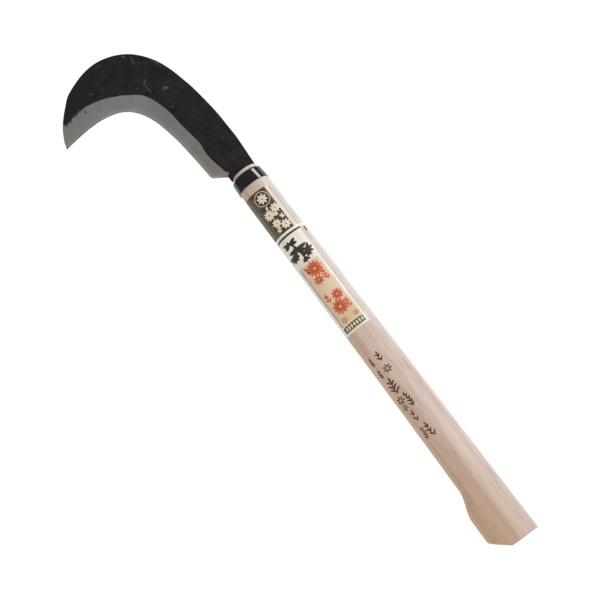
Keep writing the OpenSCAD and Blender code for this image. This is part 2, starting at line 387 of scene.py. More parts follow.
def scale_material(name="forge_scale", rubbed=0.0):
    """Black forge scale on the blade's flat.  The wear attribute's X is where it is rubbed."""
    s = Shader(name, Metallic=0.0, Specular_IOR_Level=0.16)
    patch = s.noise(s.space, 70.0, detail=4, rough=0.6, warp=0.6)
    grit = s.noise(s.space, 750.0, detail=4, rough=0.7)
    strokes = s.noise(s.scaled(s.attribute("lie"), (0.07, 1.5, 1.0)), 1.0, detail=3)
    base = s.blend(s.step(patch, 0.3, 0.7), srgb(24, 24, 25), srgb(37, 37, 37))
    color = s.blend(s.part(s.step(grit, 0.55, 0.72), 0.6), base, srgb(55, 55, 54))
    color = s.blend(s.part(s.step(grit, 0.46, 0.32), 0.6), color, srgb(22, 22, 22))
    color = s.blend(s.part(s.step(strokes, 0.56, 0.70), 0.35), color, srgb(60, 60, 60))
    rub = s.math("ADD", s.split(s.attribute("wear"))["X"], rubbed)
    torn = s.noise(s.space, 1000.0, detail=5, rough=0.75)
    scuffed = s.step(s.part(rub, s.range(torn, -1.5, 2.9)), 0.25, 1.0)
    mottle = s.noise(s.space, 300.0, detail=6, rough=0.7, warp=0.4)
    color = s.blend(s.part(s.step(mottle, 0.56, 0.72), 0.4), color, srgb(66, 66, 66))
    color = s.blend(s.part(scuffed, 0.75), color, srgb(122, 122, 121))
    rough = s.math("SUBTRACT", s.range(patch, 0.45, 0.66), s.part(scuffed, 0.15))
    relief = s.bump(grit, 0.00012, s.bump(patch, 0.00035))
    return s.finish(color, rough, relief)


def ground_material(name, cool, warm, line_strength):
    """Ground metal.  The wear attribute's X is a stain, Y is how black it still is, Z is how warm."""
    s = Shader(name, Specular_IOR_Level=0.16)
    lie = s.attribute("lie")
    lines = s.noise(s.scaled(lie, (4.5, 0.10, 1.0)), 1.0, detail=5, rough=0.65)
    coarse = s.noise(s.scaled(lie, (0.9, 0.03, 1.0)), 1.0, detail=3)
    cloud = s.noise(s.space, 38.0, detail=4, rough=0.6, warp=0.7)
    wear = s.split(s.attribute("wear"))
    base = s.blend(wear["Z"], cool, warm)
    base = s.blend(s.part(s.step(cloud, 0.45, 0.62), 0.5), base, srgb(188, 191, 172))
    out = s.split(lie)["Y"]
    toward_tip = s.step(s.split(lie)["Z"], 5.5, 8.8)
    bright = s.part(s.step(out, 5.5, 1.0), 0.55)
    base = s.blend(bright, base, srgb(232, 231, 228))
    shade = s.math("ADD", s.range(lines, -line_strength, line_strength), s.range(coarse, -0.14, 0.14))
    shade = s.math("ADD", shade, s.range(cloud, -0.30, 0.30))
    color = s.blend(s.math("ADD", shade, 0.25, clamp=True), base, srgb(120, 118, 115))
    keen = s.part(s.step(s.math("DIVIDE", out, s.math("ADD", toward_tip, 0.5)), 1.0, 0.5), 0.8)
    color = s.blend(keen, color, srgb(72, 72, 72))
    ragged = s.noise(s.scaled(lie, (0.9, 0.22, 1.0)), 1.0, detail=5, rough=0.72)
    dark = s.step(s.math("ADD", wear["Y"], s.range(ragged, -1.3, 1.3)), 0.12, 0.92)
    dark = s.math("MAXIMUM", dark, s.math("MULTIPLY", wear["X"], 0.7, clamp=True))
    color = s.blend(s.math("MULTIPLY", dark, 1.25, clamp=True), color, srgb(32, 32, 33))
    metal = s.part(s.step(dark, 1.0, 0.7), 0.85)
    s.put(s.surface.inputs["Metallic"], metal)
    rough = s.math("ADD", s.range(lines, 0.36, 0.50), s.part(dark, 0.15))
    return s.finish(color, rough, s.bump(lines, 0.00003, s.bump(coarse, 0.00006)))


def enamel_material():
    s = Shader("black_enamel", Specular_IOR_Level=0.1)
    s.coat(1.0, 0.08, ior=1.62)
    peel = s.noise(s.space, 260.0, detail=2)
    dust = s.step(s.noise(s.space, 2600.0, detail=1), 0.70, 0.78)
    color = s.blend(s.part(dust, 0.35), srgb(14, 15, 17), srgb(60, 60, 62))
    return s.finish(color, s.range(peel, 0.16, 0.28), s.bump(peel, 0.00005))


def nail_material():
    s = Shader("nail_steel", Metallic=0.9)
    drawn = s.noise(s.scaled(s.space, (900, 900, 40)), 1.0, detail=3)
    color = s.blend(drawn, srgb(150, 150, 152), srgb(110, 110, 113))
    return s.finish(color, s.range(drawn, 0.3, 0.5), s.bump(drawn, 0.00002))


def paper_material(name, light, dark):
    """Coated label paper, a little aged and rubbed."""
    s = Shader(name, Specular_IOR_Level=0.5)
    s.coat(0.25, 0.3)
    cloud = s.noise(s.space, 55.0, detail=4, rough=0.6)
    fibre = s.noise(s.scaled(s.space, (500, 1400, 1400)), 1.0, detail=3)
    base = s.blend(s.step(cloud, 0.35, 0.7), light, dark)
    color = s.blend(s.part(s.step(fibre, 0.55, 0.75), 0.25), base, dark)
    wrinkle = s.noise(s.scaled(s.space, (40, 120, 120)), 1.0, detail=2)
    return s.finish(color, s.range(cloud, 0.38, 0.52), s.bump(fibre, 0.00002, s.bump(wrinkle, 0.00012)))


def ink_material(name, strong, thin, patchy):
    """Printing ink with a little unevenness, as thin here and there."""
    s = Shader(name, Specular_IOR_Level=0.5)
    s.coat(0.2, 0.3)
    speck = s.noise(s.space, 1500.0, detail=3, rough=0.6)
    cloud = s.noise(s.space, 260.0, detail=2)
    uneven = s.math("ADD", s.step(speck, 0.5, 0.72), s.step(cloud, 0.5, 0.75), clamp=True)
    color = s.blend(s.part(uneven, patchy), strong, thin)
    return s.finish(color, s.range(speck, 0.4, 0.55), s.bump(speck, 0.00001))


def floor_material():
    s = Shader("studio_floor", Specular_IOR_Level=0.0)
    s.surface.inputs["Emission Color"].default_value = (1, 1, 1, 1)
    s.surface.inputs["Emission Strength"].default_value = FLOOR_GLOW
    soft = s.noise(s.space, 3.0, detail=2)
    return s.finish(s.blend(soft, (0.33, 0.33, 0.33, 1), (0.36, 0.36, 0.36, 1)), 0.9)


# ---- handle ----

HANDLE_SIDES = 144


def corner_limit(x):
    """The slanted cut on the flared corner: the largest y left at x."""
    return hook_side(CORNER_CUT) - (CORNER_CUT - x) * CORNER_RISE / CORNER_CUT


def cut_ring(x, inset):
    """Grip ring with the slanted corner cut, its new edges slightly eased."""
    ring = grip_ring(x, circle(HANDLE_SIDES), -inset)
    if x > CORNER_CUT + 6:
        return ring
    soft = 1.2
    over = (ring[:, 1] - (corner_limit(x) - inset * 0.6)) / soft
    ring[:, 1] -= soft * np.where(over > 30, over, np.log1p(np.exp(np.minimum(over, 30))))
    return ring


def ferrule_profile(grow, steps):
    """(x, half width, half depth) along the ferrule's outside, moved out by grow."""
    shoulder = (FERRULE_HALF - 0.7, FERRULE_DEPTH - 0.6)
    top = (NOSE_HALF + FERRULE_WALL, NOSE_DEPTH + FERRULE_WALL)
    shoulder_x = FERRULE_X + FERRULE_STRAIGHT
    out = [(FERRULE_X, FERRULE_HALF + grow, FERRULE_DEPTH + grow)]
    for i in range(steps + 1):
        a = math.pi / 2 * i / steps
        share = 1 - math.cos(a)
        out.append((mix(shoulder_x, FERRULE_TOP, math.sin(a)),
                    mix(shoulder[0], top[0], share) + grow, mix(shoulder[1], top[1], share) + grow))
    return out


def build_handle(wood, end_grain):
    angles = circle(HANDLE_SIDES)
    butt_round, rim_round = 1.0, 0.8
    rings = []
    for k in range(6):
        a = math.pi / 2 * (1 - k / 5)
        rings.append(cut_ring(butt_round * (1 - math.sin(a)), butt_round * (1 - math.cos(a))))
    stations = np.concatenate([np.arange(2.0, 84, 1.25), np.arange(84, FERRULE_X - 1, 3.0),
                               [FERRULE_X - 0.5, FERRULE_X]])
    rings += [cut_ring(x, 0.0) for x in stations]
    rings += [oval(x, half, depth, FERRULE_MID, angles)
              for x, half, depth in ferrule_profile(-FERRULE_WALL, 8)]
    rings.append(oval(FERRULE_TOP + 0.3, NOSE_HALF, NOSE_DEPTH, NOSE_MID, angles))
    for k in range(6):
        a = math.pi / 2 * k / 5
        inset = rim_round * (1 - math.cos(a))
        x = HANDLE_LEN - rim_round * (1 - math.sin(a))
        rings.append(oval(x, NOSE_HALF - inset, NOSE_DEPTH - inset, NOSE_MID, angles))
    points, faces = skin(capped_rings(rings))
    lumps = wave(points, 26.0, seed=1)
    inside = (points[:, 0] > 3) & (points[:, 0] < FERRULE_X - 2)
    points[inside, 1:] *= (1 + 0.0022 * lumps[inside])[:, None]
    slots = []
    for face in faces:
        corner = points[list(face)]
        normal = np.cross(corner[1] - corner[0], corner[2] - corner[1])
        size = norm(normal)
        across = abs(normal[0]) / size if size > 0 else 0
        middle = corner[:, 0].mean()
        slots.append(1 if across > 0.5 and (middle < CORNER_CUT + 2 or middle > FERRULE_TOP) else 0)
    piece = make_object("handle_wood", points, faces, [wood, end_grain], slots, sharp_angle=32)
    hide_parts("handle")
    return piece


# ---- ferrule ----

def build_ferrule(enamel):
    angles = circle(160)
    lip = 0.3
    outer = ferrule_profile(0.0, 12)
    inner = ferrule_profile(-FERRULE_WALL, 12)
    profile = list(inner)
    profile.append((inner[-1][0], inner[-1][1] + 0.35, inner[-1][2] + 0.35))
    profile += outer[:0:-1]
    for k in range(5):
        a = math.pi / 2 * k / 4
        inset = lip * (1 - math.cos(a))
        profile.append((FERRULE_X + lip * (1 - math.sin(a)), outer[0][1] - inset, outer[0][2] - inset))
    rings = [oval(x, half, depth, FERRULE_MID, angles) for x, half, depth in profile]
    points = np.concatenate(rings)
    faces = [f[::-1] for f in ring_faces(len(rings), len(angles), closed_along=True)]
    piece = make_object("ferrule_ring", points, faces, [enamel], sharp_angle=40)
    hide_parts("ferrule")
    return piece


# ---- blade ----

HEEL_STEPS = 18
BLADE_STEPS = 26
STEEL_SHARE = 0.42
SPINE_EASE = 0.5
# Rubbed places on the scale: both ends of the rub, its half width and how strong it is.
SCUFFS = [((603.6, 24.4), (601.9, 27.5), 1.0, 0.95), ((599.2, 28), (589.3, 26.9), 0.6, 0.9),
          ((584.3, 12.8), (581.2, 10.2), 0.9, 1.2), ((584.3, 12.8), (582.2, 15.0), 0.7, 1.0),
          ((635.7, 21.8), (626.4, 24.1), 0.8, 0.8), ((642.4, 29.2), (640.6, 27.6), 0.9, 1.0),
          ((603, 37.4), (600.6, 34.6), 0.6, 0.7), ((617.4, 6.4), (606, 2.4), 0.6, 0.8),
          ((561.8, 18.9), (560, 18), 0.9, 0.7), ((628.5, 78.1), (629.3, 80.4), 0.9, 0.7),
          ((650, 52), (651, 60), 0.6, 0.7), ((535, 6), (543, 9.5), 0.6, 0.6),
          ((497, -6), (503, -2), 0.6, 0.6)]
STAIN, STAIN_SIZE = (616.2, 95.4), 1.5


class Blade:
    """Stations along the blade.  Each has the plan points of its edge, steel line, grind line and spine,
    the half thickness at the edge and on the flat, and its distance along the edge."""

    def __init__(self):
        self.make_tang_and_neck()
        self.make_heel()
        self.make_main()
        self.join()

    def make_tang_and_neck(self):
        start = HANDLE_LEN - TANG_LEN
        tang_x = [start, start + 3, start + 6, *np.linspace(start + 20, HANDLE_LEN - 0.4, 8)]
        tang_half = [2.0, 4.6, 6.0, *np.linspace(6.5, TANG_HALF[0], 8)]
        neck_x = [HANDLE_LEN, HANDLE_LEN + 1, HANDLE_LEN + 2.5, HANDLE_LEN + 4, NECK_CORNER[0] - 0.5]
        edge = [(x, h) for x, h in zip(tang_x, tang_half)]
        spine = [(x, -h) for x, h in zip(tang_x, tang_half)]
        edge += [(x, 15.6 + 0.03 * (x - HANDLE_LEN)) for x in neck_x]
        spine += [(mix(HANDLE_LEN, NECK_SPINE[0], (x - HANDLE_LEN) / 5.8), -14.2) for x in neck_x]
        edge, spine = np.array(edge), np.array(spine)
        toward = (spine - edge) / norm(spine - edge, axis=1)[:, None]
        self.neck = dict(edge=edge, grind=edge + toward * 0.6, spine=spine, steel=edge.copy(),
                         edge_half=np.full(len(edge), BLADE_HALF - 0.35),
                         face_half=np.full(len(edge), BLADE_HALF))

    def make_heel(self):
        """From the neck's corner out to the heel, where the cutting edge starts."""
        t = np.linspace(0, 1, HEEL_STEPS)
        corner, heel = np.array(NECK_CORNER), np.array(EDGE[0])
        edge = mix(corner, heel, t[:, None])
        turned = np.array([1.9, 0.15])
        edge += turned * (ease((t - 0.86) / 0.14) * 0.75)[:, None]
        grind = mix(np.array(NECK_GRIND), np.array(GRIND[0]), t[:, None])
        spine = mix(np.array(NECK_SPINE), np.array(SPINE[0]), t[:, None])
        edge_half = mix(BLADE_HALF - 0.45, 0.12, np.sin(t * math.pi / 2) ** 1.1)
        steel_share = STEEL_SHARE * np.clip((t - 0.55) / 0.45, 0, 1)
        self.heel = dict(edge=edge, grind=grind, spine=spine, steel=mix(edge, grind, steel_share[:, None]),
                         edge_half=edge_half, face_half=np.full(len(t), BLADE_HALF))

    def make_main(self):
        last = len(EDGE) - 1
        t = np.linspace(0, last, last * BLADE_STEPS + 1)[3:]
        edge, grind, spine = spline(EDGE, t), spline(GRIND, t), spline(SPINE, t)
        face = spline(FACE_HALF, t)
        toward = (edge - grind) / norm(edge - grind, axis=1)[:, None]
        flat = np.column_stack([grind, np.zeros(len(t))])
        wander = 0.35 * wave(flat, 11.0, seed=2) + 0.13 * wave(flat, 3.2, seed=3)
        quiet = 1 - ease((t - 10.2) / 1.2)
        grind = grind + toward * (wander * quiet)[:, None]
        outline = np.column_stack([spine, np.zeros(len(t))])
        spine = spine + 0.16 * (wave(outline, 9.0, seed=4) * quiet)[:, None] * (-toward)
        share = STEEL_SHARE + 0.035 * wave(flat, 14.0, seed=5)
        self.main = dict(edge=edge, grind=grind, spine=spine, steel=mix(edge, grind, share[:, None]),
                         edge_half=np.full(len(t), 0.05), face_half=face)
        self.main_t = t

    def join(self):
        tip = np.array(TIP)
        parts = [self.neck, self.heel, self.main]
        for key in ("edge", "grind", "spine", "steel", "edge_half", "face_half"):
            whole = np.concatenate([p[key] for p in parts])
            end = whole[-1]
            goal = tip if whole.ndim == 2 else {"edge_half": 0.04, "face_half": 0.08}[key]
            closing = [mix(end, goal, s) for s in (0.3, 0.55, 0.75, 0.9, 0.985)]
            setattr(self, key, np.concatenate([whole, np.array(closing)]))
        self.count = len(self.edge)
        first_main = len(self.neck["edge"]) + len(self.heel["edge"])
        self.t = np.concatenate([np.full(first_main, 0.0), self.main_t,
                                 np.linspace(self.main_t[-1], self.main_t[-1] + 1, 6)[1:]])
        gaps = norm(np.diff(self.edge, axis=0), axis=1)
        self.length = np.concatenate([[0], np.cumsum(gaps)])
        self.heel_start = len(self.neck["edge"])

    def bevel_height(self, share):
        """Half thickness at share of the way from the edge to the grind line, for every station."""
        return mix(self.edge_half, self.face_half, share)


def rub_at(points):
    """How much the scale is rubbed at points in plan: 1 in the middle of a rub."""
    amount = np.zeros(len(points))
    for start, end, radius, strength in SCUFFS:
        a, b = np.array(start), np.array(end)
        share = np.clip(((points[:, :2] - a) @ (b - a)) / ((b - a) @ (b - a)), 0, 1)
        gap = norm(points[:, :2] - (a + share[:, None] * (b - a)), axis=1)
        amount = np.maximum(amount, strength * np.exp(-((gap / (1.6 * radius)) ** 2)))
    return amount


def tone_along(t):
    """0 where the grind is a neutral grey, 1 where it is warmer: near the heel and at the tip."""
    return np.maximum(1 - ease((t - 0.5) / 3.0), ease((t - 9.3) / 1.6))


def forged(points):
    """Shallow unevenness of the forged flat, in mm."""
    return 0.055 * wave(points, 17.0, seed=6) + 0.035 * wave(points, 7.0, seed=7)


BEVEL_COLUMNS, FLAT_COLUMNS = 10, 44
# Stations where the black scale starts to fade and where it is gone, and the blackness of bare metal.
MIXED_FROM, SCALE_END = 7.9, 10.6
BARE = -0.6
SINK = 0.06  # how far the uneven flat is lowered, in mm


def surface_data(blade, rings, first, black):
    """For rings from station first on: where each point lies (along the blade, from the edge, station) and
    its wear (rub, blackness, warmth), with the rub still 0."""
    lie, wear = np.zeros_like(rings), np.zeros_like(rings)
    lie[..., 0] = blade.length[first:, None]
    lie[..., 1] = norm(rings[..., :2] - blade.edge[first:, None], axis=2)
    lie[..., 2] = blade.t[first:, None]
    wear[..., 1] = black
    wear[..., 2] = tone_along(blade.t[first:])[:, None]
    return lie, wear


def iron_slots(blade):
    """For each quad of the iron's rings: 0 forge scale, 1 ground metal, 2 the rim, partly worn and partly
    painted lighter as a highlight along the spine's edge.
    """
    kinds = ["bevel"] * BEVEL_COLUMNS + ["flat"] * (FLAT_COLUMNS - 1) + ["rim"] * 3
    kinds += kinds[::-1]
    pairs = [{a, b} for a, b in zip(kinds, kinds[1:] + kinds[:1])]
    slots = []
    for i in range(blade.count - 1):
        for pair in pairs:
            if i < blade.heel_start:
                slots.append(0)
            elif pair == {"bevel"} or blade.t[i] >= MIXED_FROM:
                slots.append(1)
            else:
                slots.append(2 if "rim" in pair else 0)
    return slots


def build_blade_iron(blade, scale, ground, rim_wear_and_highlight):
    """The iron: ring of each station from the steel line over the top, round the spine and back below."""
    share = norm(blade.steel - blade.edge, axis=1) / np.maximum(
        norm(blade.grind - blade.edge, axis=1), 1e-6)
    blade.steel_share = share
    inward = blade.grind - blade.spine
    width = norm(inward, axis=1)
    ease_in = np.minimum(SPINE_EASE, width * 0.3)
    shoulder = blade.spine + inward / np.maximum(width, 1e-6)[:, None] * ease_in[:, None]
    plan, high, depth = [], [], []
    for b in np.linspace(0, 1, BEVEL_COLUMNS):
        plan.append(mix(blade.steel, blade.grind, b))
        high.append(blade.bevel_height(mix(share, 1.0, b)))
        depth.append(-norm(plan[-1] - blade.grind, axis=1))
    for f in np.linspace(0, 1, FLAT_COLUMNS)[1:]:
        plan.append(mix(blade.grind, shoulder, f))
        high.append(blade.face_half.copy())
        depth.append(norm(plan[-1] - blade.grind, axis=1))
    for a in (30, 60, 90):
        plan.append(mix(shoulder, blade.spine, math.sin(math.radians(a))))
        high.append(blade.face_half - ease_in * (1 - math.cos(math.radians(a))))
        depth.append(width)
    over = np.concatenate([np.stack(plan, axis=1), np.stack(high, axis=1)[..., None]], axis=2)
    columns = over.shape[1]
    flat = slice(BEVEL_COLUMNS, columns - 3)
    under = over.copy()
    under[..., 2] *= -1
    for i in range(blade.heel_start, blade.count):
        over[i, flat, 2] += forged(over[i, flat]) - SINK
        under[i, flat, 2] -= forged(under[i, flat]) - SINK
    rings = np.concatenate([over, under[:, ::-1]], axis=1)
    ring_size = 2 * columns
    depth = np.stack(depth, axis=1)
    depth = np.concatenate([depth, depth[:, ::-1]], axis=1)

    # How black the surface is: smoky from MIXED_FROM on, and bare beyond SCALE_END.
    smoky = ease((blade.t - MIXED_FROM) / 1.0)[:, None]
    black = np.clip(0.5 + (depth + 0.7 * smoky) / mix(0.5, 6.5, smoky), BARE, 1.6)
    black = mix(black, BARE, ease((blade.t - SCALE_END) / 0.6)[:, None])
    black[blade.t < MIXED_FROM] = BARE
    lie, wear = surface_data(blade, rings, 0, black)
    wear[..., 0] = rub_at(rings.reshape(-1, 3)).reshape(blade.count, ring_size)
    stain = np.exp(-((norm(rings[..., :2] - np.array(STAIN), axis=2) / STAIN_SIZE) ** 2))
    wear[..., 0] += np.where(depth < 0, stain, 0)
    points, faces = skin(rings)
    slots = iron_slots(blade)
    slots += [0] * (len(faces) - len(slots))
    piece = make_object("blade_iron", points, faces, [scale, ground, rim_wear_and_highlight], slots, sharp_angle=180)
    for name, values in (("lie", lie), ("wear", wear)):
        add_vectors(piece, name, np.concatenate([values.reshape(-1, 3), np.zeros((2, 3))]))
    ridge, rim = BEVEL_COLUMNS - 1, columns - 4
    upper_lines = [0, ridge, rim]
    mark_columns(piece, ring_size, upper_lines + [ring_size - 1 - k for k in upper_lines])
    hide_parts("blade_body")
    return piece


def mark_columns(piece, ring_size, columns):
    """Keeps a crisp line along these columns of the rings."""
    mesh = piece.data
    sharp = mesh.attributes.get("sharp_edge") or mesh.attributes.new("sharp_edge", "BOOLEAN", "EDGE")
    ends = np.zeros(len(mesh.edges) * 2, np.int32)
    mesh.edges.foreach_get("vertices", ends)
    ends = ends.reshape(-1, 2)
    same = (ends[:, 0] % ring_size) == (ends[:, 1] % ring_size)
    chosen = same & np.isin(ends[:, 0] % ring_size, columns)
    values = np.zeros(len(mesh.edges), bool)
    sharp.data.foreach_get("value", values)
    sharp.data.foreach_set("value", values | chosen)


def build_edge_steel(blade, steel):
    """The hard steel: from the cutting edge to the steel line, the same on both faces."""
    first = blade.heel_start + int(HEEL_STEPS * 0.55)
    shares = np.concatenate([[0], np.linspace(0.08, 1, 8)])
    over, heights = [], []
    for s in shares:
        over.append(mix(blade.edge, blade.steel, s))
        lifted = blade.bevel_height(blade.steel_share * s)
        if s == 0:
            lifted = np.where(blade.t > 0, 0.02, lifted)
        heights.append(lifted)
    plan = np.stack(over, axis=1)[first:]
    high = np.stack(heights, axis=1)[first:]
    top = np.concatenate([plan, high[..., None]], axis=2)
    bottom = top[:, ::-1].copy()
    bottom[..., 2] *= -1
    rings = np.concatenate([top, bottom], axis=1)
    points, faces = skin(rings)
    lie, wear = surface_data(blade, rings, first, BARE)
    piece = make_object("blade_edge", points, faces, [steel], sharp_angle=180)
    for name, values in (("lie", lie), ("wear", wear)):
        add_vectors(piece, name, np.concatenate([values.reshape(-1, 3), np.zeros((2, 3))]))
    size = rings.shape[1]
    mark_columns(piece, size, [0, len(shares) - 1, len(shares), size - 1])
    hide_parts("edge_steel")
    return piece


# ---- labels ----

SHEET = 0.19
LOWER_START, SEAM, UPPER_END = LOWER_X[0], LOWER_X[1], UPPER_X[1]
STRIP_X, STRIP_V = (LOWER_START + 2.3, LOWER_START + 9.0), (-8.1, 17.4)
FIELD_X, FIELD_V = (LOWER_START + 9.8, LOWER_START + 83.2), (-8.4, 15.7)
# The bright paper covers the front within BRIGHT_V; the greyer paper beyond it, round the sides and back, is
# partly painted shade where the grip turns from the light, partly the film's darker edge.
BRIGHT_V = (-10.4, 19.0)
DARK_BAND_X, DARK_BAND_V = (SEAM - 1.6, SEAM + 0.7), (-11.8, 28.0)
PANEL_X, PANEL_V = (SEAM + 3.4, UPPER_END - 0.01), (-7.2, 28.0)
FRONT_V = 30.0
BACK_COLUMNS = 34
LAP = (18, 24)


def sleeve_angles(grip, x, front_v):
    """Angles of a sleeve's columns at x: the front ones lie at front_v, the back ones spread evenly."""
    front = [grip.angle(x, v) for v in front_v]
    back = np.linspace(front[-1], front[0] + 2 * math.pi, BACK_COLUMNS + 2)[1:-1]
    return np.concatenate([front, back])


def build_sleeve(name, span, edges_x, edges_v, material_list, slot_of):
    """A paper sleeve round the grip with a lap joint at the back.  Its cells break at edges_x and edges_v,
    and slot_of(x, v) picks the material of the cell there."""
    grip = GripMap(span[0] - 6, span[1] + 6)
    even = np.arange(-FRONT_V, FRONT_V + 0.1, 1.25)
    front_v = np.array(sorted([v for v in even if min(abs(v - e) for e in edges_v) > 0.4] + list(edges_v)))
    stations = list(np.linspace(span[0], span[1], int((span[1] - span[0]) / 2.2) + 1))
    inside = [e for e in edges_x if span[0] + 0.3 < e < span[1] - 0.3]
    stations = sorted([x for x in stations if min([abs(x - e) for e in inside] + [9]) > 0.3] + inside)
    inner, outer = [], []
    for x in stations:
        angles = sleeve_angles(grip, x, front_v)
        lift = np.full((len(angles), 1), SHEET)
        lift[len(front_v) + LAP[0]:len(front_v) + LAP[1]] = PAPER
        base, raised = grip_ring(x, angles, 0.0), grip_ring(x, angles, PAPER)
        inner.append(mix(base, raised, 0.1))
        outer.append(mix(base, raised, lift / PAPER))
    rings = inner + outer[::-1]
    size = len(inner[0])
    faces = [f[::-1] for f in ring_faces(len(rings), size, closed_along=True)]
    slots = []
    for i in range(len(rings)):
        for k in range(size):
            outside = len(inner) <= i < len(rings) - 1 and k < len(front_v) - 1
            if outside:
                j = 2 * len(inner) - 1 - i
                x, v = (stations[j] + stations[j - 1]) / 2, (front_v[k] + front_v[k + 1]) / 2
                slots.append(slot_of(x, v))
            else:
                slots.append(0)
    return make_object(name, np.concatenate(rings), faces, material_list, slots, sharp_angle=40)


def inside_of(x, v, span_x, span_v):
    return span_x[0] < x < span_x[1] and span_v[0] < v < span_v[1]


def build_labels(margin_with_shade, bright, field, strip, panel):
    def lower_slot(x, v):
        if inside_of(x, v, STRIP_X, STRIP_V):
            return 3
        if inside_of(x, v, DARK_BAND_X, DARK_BAND_V):
            return 4
        if inside_of(x, v, FIELD_X, FIELD_V):
            return 2
        # Bright paper across the front, greyer paper round the sides and back: partly painted shade.
        return 1 if BRIGHT_V[0] < v < BRIGHT_V[1] else 0

    def upper_slot(x, v):
        if inside_of(x, v, PANEL_X, PANEL_V) or inside_of(x, v, DARK_BAND_X, DARK_BAND_V):
            return 2
        return 1 if x < PANEL_X[0] else 0

    edges_x = [*STRIP_X, *FIELD_X, *DARK_BAND_X, *PANEL_X]
    edges_v = [*STRIP_V, *FIELD_V, *BRIGHT_V, DARK_BAND_V[0], PANEL_V[0], 28.0]
    lower = build_sleeve("label_lower_sheet", LOWER_X, edges_x, edges_v,
                         [margin_with_shade, bright, field, strip, panel], lower_slot)
    upper = build_sleeve("label_upper_sheet", UPPER_X, edges_x, edges_v,
                         [margin_with_shade, bright, panel], upper_slot)
    for piece, node, slot in ((lower, "label_lower", "cream_paper"),
                              (upper, "label_upper", "printed_paper")):
        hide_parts(node)
    return [lower, upper]


# ---- printed and burnt marks ----

def directions(angle):
    """Unit vectors along angle, in degrees, and square to it."""
    a = math.radians(angle)
    return np.array([math.cos(a), math.sin(a)]), np.array([-math.sin(a), math.cos(a)])


class Marks:
    """Thin raised shapes on the grip, all of one ink.  Positions are (x, v) in mm."""

    def __init__(self, base, sink=0.06, first=0.02):
        self.grip = GripMap(90, FERRULE_X)
        self.base, self.sink, self.rise = base, sink, first
        self.points, self.faces = [], []

    def sheet(self, grid, loop=False):
        """A slab whose top is the grid of (x, v) places; loop joins the last row to the first."""
        rows, cols = len(grid), len(grid[0])
        self.rise += 0.0012
        start = len(self.points)
        for level in (self.base + self.rise, self.base - self.sink):
            for line in grid:
                for x, v in line:
                    self.points.append(self.grip.place(x, v, level))
        under = rows * cols
        spans = rows if loop else rows - 1
        for i in range(spans):
            a, b = i * cols, ((i + 1) % rows) * cols
            for k in range(cols - 1):
                quad = [a + k, a + k + 1, b + k + 1, b + k]
                self.face(start, quad)
                self.face(start, [q + under for q in quad[::-1]])
            self.face(start, [a, b, b + under, a + under])
            e = cols - 1
            self.face(start, [b + e, a + e, a + e + under, b + e + under])
        if not loop:
            for k in range(cols - 1):
                e = (rows - 1) * cols
                self.face(start, [k + 1, k, k + under, k + 1 + under])
                self.face(start, [e + k, e + k + 1, e + k + 1 + under, e + k + under])

    def face(self, start, quad):
        self.faces.append(tuple(start + q for q in quad))

    def stroke(self, path, width, start=0.35, end=0.2, steps=12):
        """A brush stroke along a curve through path; start and end are its widths there, as shares."""
        path = np.asarray(path, float)
        t = np.linspace(0, len(path) - 1, steps + 1)
        line = spline(path, t)
        way = np.gradient(line, axis=0)
        side = np.column_stack([-way[:, 1], way[:, 0]]) / norm(way, axis=1)[:, None]
        u = t / t[-1]
        taper = mix(np.where(u < 0.5, start, end), 1.0, np.sin(math.pi * u))
        across = np.linspace(-0.5, 0.5, 3 if width < 1.2 else 5)
        self.sheet([[p + n * (w * width * a) for a in across] for p, n, w in zip(line, side, taper)])

    def leaf(self, root, angle, length, width, bend=0.12):
        """A pointed leaf from root; angle is in degrees, 0 along +x and 90 towards +v."""
        way, side = directions(angle)
        root = np.array(root, float)
        middle = root + way * length * 0.5 + side * length * bend
        self.stroke([root, middle, root + way * length], width, start=0.1, end=0.03, steps=10)

    def ring(self, centre, radius, width, steps=48):
        edges = np.linspace(radius + width / 2, radius - width / 2, 3)
        self.sheet([[np.array(centre) + w * r for r in edges] for w in unit_circle(steps)], loop=True)

    def bar(self, x0, x1, v0, v1):
        """A straight rectangle."""
        rows = max(2, int(abs(x1 - x0) / 2.5) + 1)
        cols = max(2, int(abs(v1 - v0) / 1.0) + 2)
        self.sheet([[(x, v) for v in np.linspace(v0, v1, cols)] for x in np.linspace(x0, x1, rows)])

    def bloom(self, centre, radius, petals, width, turn=0.0, core=0.2):
        """A round flower seen from above."""
        for k in range(petals):
            angle = turn + 360 * k / petals
            root = np.array(centre) + directions(angle)[0] * radius * core
            self.leaf(root, angle, radius * (1 - core), width, bend=0.0)

    def spray(self, root, angle, length, pairs, leaf_len, leaf_width, stem=0.7, spread=45, bend=0.05):
        """A stem with pairs of leaves along it and one more at its end."""
        way, side = directions(angle)
        root = np.array(root, float)
        path = [root, root + way * length * 0.5 + side * length * bend, root + way * length]
        self.stroke(path, stem, start=0.9, end=0.6)
        for k in range(pairs):
            for sign in (1, -1):
                at = spline(path, 2 * (k + 0.35 + 0.12 * sign) / pairs)[0]
                self.leaf(at, angle + sign * spread, leaf_len * (1 - 0.1 * k), leaf_width, bend=-0.12 * sign)
        self.leaf(root + way * length * 0.96, angle, leaf_len * 0.9, leaf_width, bend=0.0)

    def build(self, name, material, slot):
        piece = make_object(name, np.array(self.points), self.faces, [material], sharp_angle=30)
        return piece


def unit_circle(steps):
    return [np.array([math.cos(a), math.sin(a)]) for a in circle(steps)]


